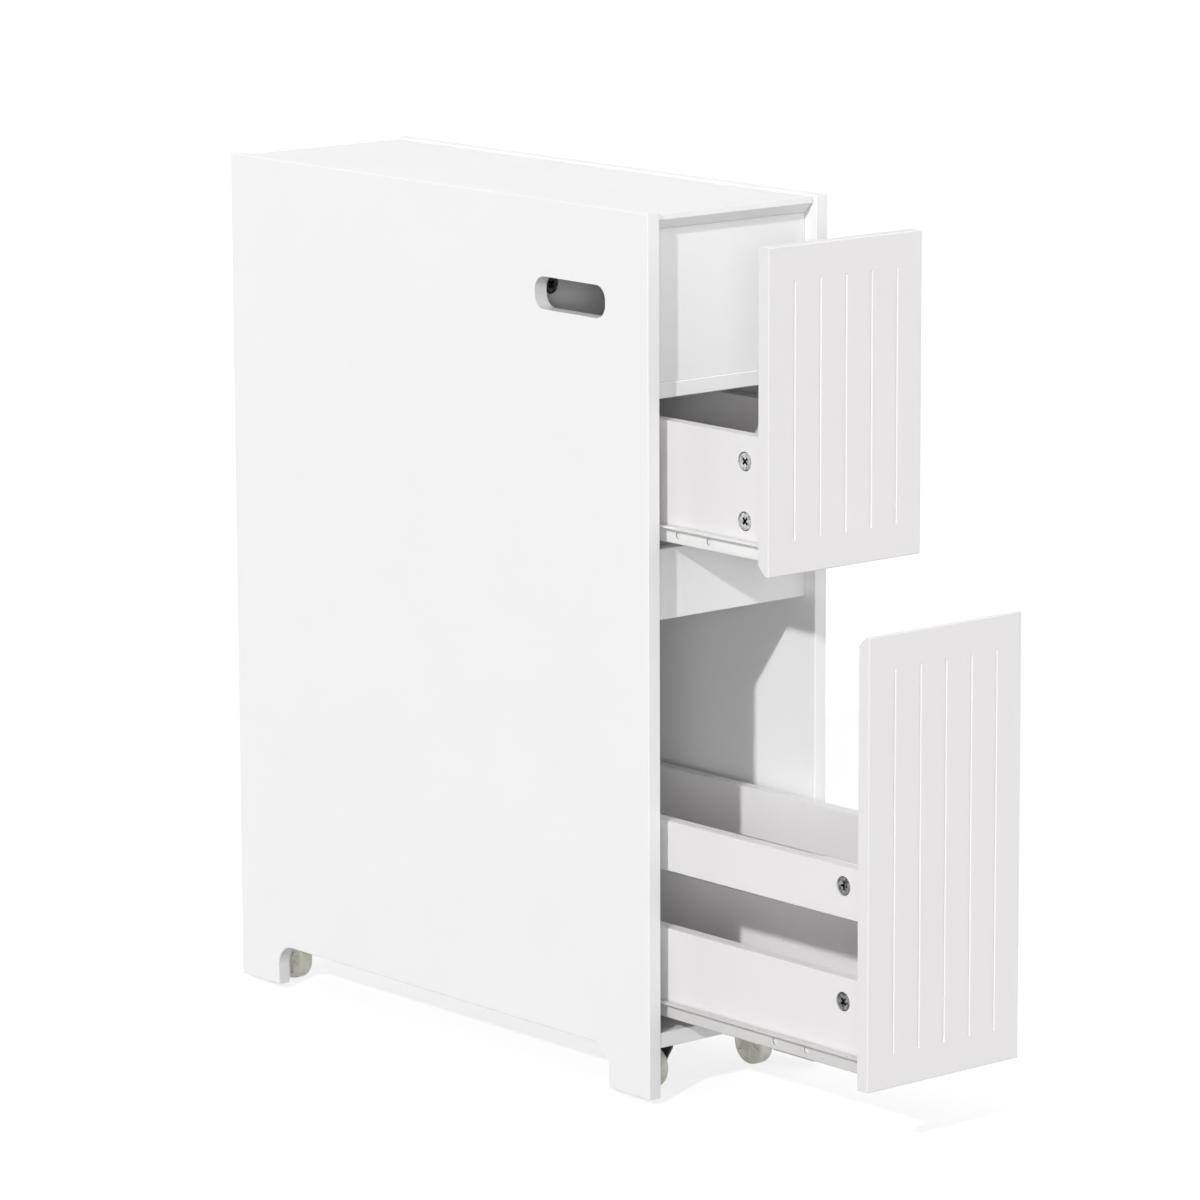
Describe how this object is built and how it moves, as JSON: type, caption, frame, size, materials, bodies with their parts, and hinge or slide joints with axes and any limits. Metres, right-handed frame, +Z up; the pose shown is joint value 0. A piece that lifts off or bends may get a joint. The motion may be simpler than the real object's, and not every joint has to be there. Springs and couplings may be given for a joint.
{
  "type": "narrow rolling bathroom cabinet",
  "caption": "Slim white rolling bathroom cabinet with grooved pull-out drawers on roller runners, a lift-up lid over a tissue space and a tissue slot in its side.",
  "frame": {"origin": "on the floor, under the middle of the cabinet's box with its drawers as stored", "axes": "+X to the right seen from the drawers, +Y from the drawer fronts to the back, +Z up"},
  "size_m": [0.186, 0.766, 0.705],
  "materials": {
    "board": "satin white lacquer on fine fibreboard",
    "hardboard": "white faced thin hardboard",
    "runner": "white epoxy powder coat",
    "bright_zinc": "bright die-cast zinc",
    "dark_zinc": "dull grey die-cast zinc",
    "screw": "zinc plated steel",
    "roller": "moulded white nylon",
    "wheel": "moulded natural nylon, slightly translucent cream",
    "fork": "black painted pressed steel",
    "plated_steel": "zinc plated steel"
  },
  "bodies": {
    "cabinet": {"left_side_panel": "board", "right_side_panel": "board", "back_panel": "board", "bottom_panel": "board", "tissue_shelf": "board", "tissue_front_panel": "board", "tissue_divider": "board", "middle_rail": "board", "cabinet_cam_locks": "bright_zinc", "cabinet_cam_bolts": "plated_steel", "upper_left_cabinet_runner": "runner", "upper_right_cabinet_runner": "runner", "lower_left_cabinet_runner": "runner", "lower_right_cabinet_runner": "runner", "cabinet_runner_screws": "screw", "lid_pivot_pins": "plated_steel", "caster_plates": "plated_steel", "caster_kingpins": "plated_steel", "caster_screws": "screw", "back_panel_screws": "screw"},
    "lid": {"lid": "board", "lid_pivot_bushes": "roller"},
    "upper_drawer": {"upper_drawer_front": "board", "upper_drawer_back": "board", "upper_drawer_bottom": "hardboard", "upper_drawer_cam_locks": "bright_zinc", "upper_drawer_cam_bolts": "plated_steel", "upper_drawer_screws": "screw", "upper_drawer_left_side": "board", "upper_left_drawer_runner": "runner", "upper_drawer_right_side": "board", "upper_right_drawer_runner": "runner"},
    "upper_front_rollers": {"upper_front_rollers": "roller"},
    "upper_rear_rollers": {"upper_rear_rollers": "roller"},
    "lower_drawer": {"lower_drawer_front": "board", "lower_drawer_back": "board", "lower_drawer_bottom": "hardboard", "lower_drawer_cam_locks": "dark_zinc", "lower_drawer_cam_bolts": "plated_steel", "lower_drawer_screws": "screw", "lower_drawer_left_board": "board", "lower_drawer_left_rail": "board", "lower_left_drawer_runner": "runner", "lower_drawer_right_board": "board", "lower_drawer_right_rail": "board", "lower_right_drawer_runner": "runner"},
    "lower_front_rollers": {"lower_front_rollers": "roller"},
    "lower_rear_rollers": {"lower_rear_rollers": "roller"},
    "front_left_swivel": {"front_left_caster_fork": "fork", "front_left_caster_axle": "plated_steel"},
    "front_left_wheel": {"front_left_caster_wheel": "wheel"},
    "front_right_swivel": {"front_right_caster_fork": "fork", "front_right_caster_axle": "plated_steel"},
    "front_right_wheel": {"front_right_caster_wheel": "wheel"},
    "rear_left_swivel": {"rear_left_caster_fork": "fork", "rear_left_caster_axle": "plated_steel"},
    "rear_left_wheel": {"rear_left_caster_wheel": "wheel"},
    "rear_right_swivel": {"rear_right_caster_fork": "fork", "rear_right_caster_axle": "plated_steel"},
    "rear_right_wheel": {"rear_right_caster_wheel": "wheel"}
  },
  "joints": [
    {"name": "lid_hinge", "type": "hinge", "parent": "cabinet", "child": "lid", "pos_m": [0, 0.3755, 0.697], "axis": [-1, 0, 0], "range_deg": [0, 98]},
    {"name": "upper_drawer_slide", "type": "slide", "parent": "cabinet", "child": "upper_drawer", "axis": [0, -1, 0], "range_m": [-0.123, 0.237]},
    {"name": "upper_front_roller_spin", "type": "hinge", "parent": "cabinet", "child": "upper_front_rollers", "pos_m": [0, -0.121, 0.45205], "axis": [1, 0, 0], "continuous": true},
    {"name": "upper_rear_roller_spin", "type": "hinge", "parent": "upper_drawer", "child": "upper_rear_rollers", "pos_m": [0, 0.23, 0.45105], "axis": [1, 0, 0], "continuous": true},
    {"name": "lower_drawer_slide", "type": "slide", "parent": "cabinet", "child": "lower_drawer", "axis": [0, -1, 0], "range_m": [-0.236, 0.124]},
    {"name": "lower_front_roller_spin", "type": "hinge", "parent": "cabinet", "child": "lower_front_rollers", "pos_m": [0, -0.121, 0.07205], "axis": [1, 0, 0], "continuous": true},
    {"name": "lower_rear_roller_spin", "type": "hinge", "parent": "lower_drawer", "child": "lower_rear_rollers", "pos_m": [0, 0.117, 0.07105], "axis": [1, 0, 0], "continuous": true},
    {"name": "front_left_swivel_turn", "type": "hinge", "parent": "cabinet", "child": "front_left_swivel", "pos_m": [-0.0555, -0.109, 0.0406], "axis": [0, 0, 1], "continuous": true},
    {"name": "front_left_wheel_spin", "type": "hinge", "parent": "front_left_swivel", "child": "front_left_wheel", "pos_m": [-0.0555, -0.103, 0.0175], "axis": [1, 0, 0], "continuous": true},
    {"name": "front_right_swivel_turn", "type": "hinge", "parent": "cabinet", "child": "front_right_swivel", "pos_m": [0.0555, -0.109, 0.0406], "axis": [0, 0, 1], "continuous": true},
    {"name": "front_right_wheel_spin", "type": "hinge", "parent": "front_right_swivel", "child": "front_right_wheel", "pos_m": [0.0555, -0.103, 0.0175], "axis": [1, 0, 0], "continuous": true},
    {"name": "rear_left_swivel_turn", "type": "hinge", "parent": "cabinet", "child": "rear_left_swivel", "pos_m": [-0.0555, 0.353, 0.0406], "axis": [0, 0, 1], "continuous": true},
    {"name": "rear_left_wheel_spin", "type": "hinge", "parent": "rear_left_swivel", "child": "rear_left_wheel", "pos_m": [-0.0555, 0.359, 0.0175], "axis": [1, 0, 0], "continuous": true},
    {"name": "rear_right_swivel_turn", "type": "hinge", "parent": "cabinet", "child": "rear_right_swivel", "pos_m": [0.0555, 0.353, 0.0406], "axis": [0, 0, 1], "continuous": true},
    {"name": "rear_right_wheel_spin", "type": "hinge", "parent": "rear_right_swivel", "child": "rear_right_wheel", "pos_m": [0.0555, 0.359, 0.0175], "axis": [1, 0, 0], "continuous": true}
  ],
  "couplings": [
    {"joint": "upper_front_roller_spin", "follows": "upper_drawer_slide", "rad_per_m": 133.33},
    {"joint": "upper_rear_roller_spin", "follows": "upper_drawer_slide", "rad_per_m": 142.86},
    {"joint": "lower_front_roller_spin", "follows": "lower_drawer_slide", "rad_per_m": 133.33},
    {"joint": "lower_rear_roller_spin", "follows": "lower_drawer_slide", "rad_per_m": 142.86}
  ]
}
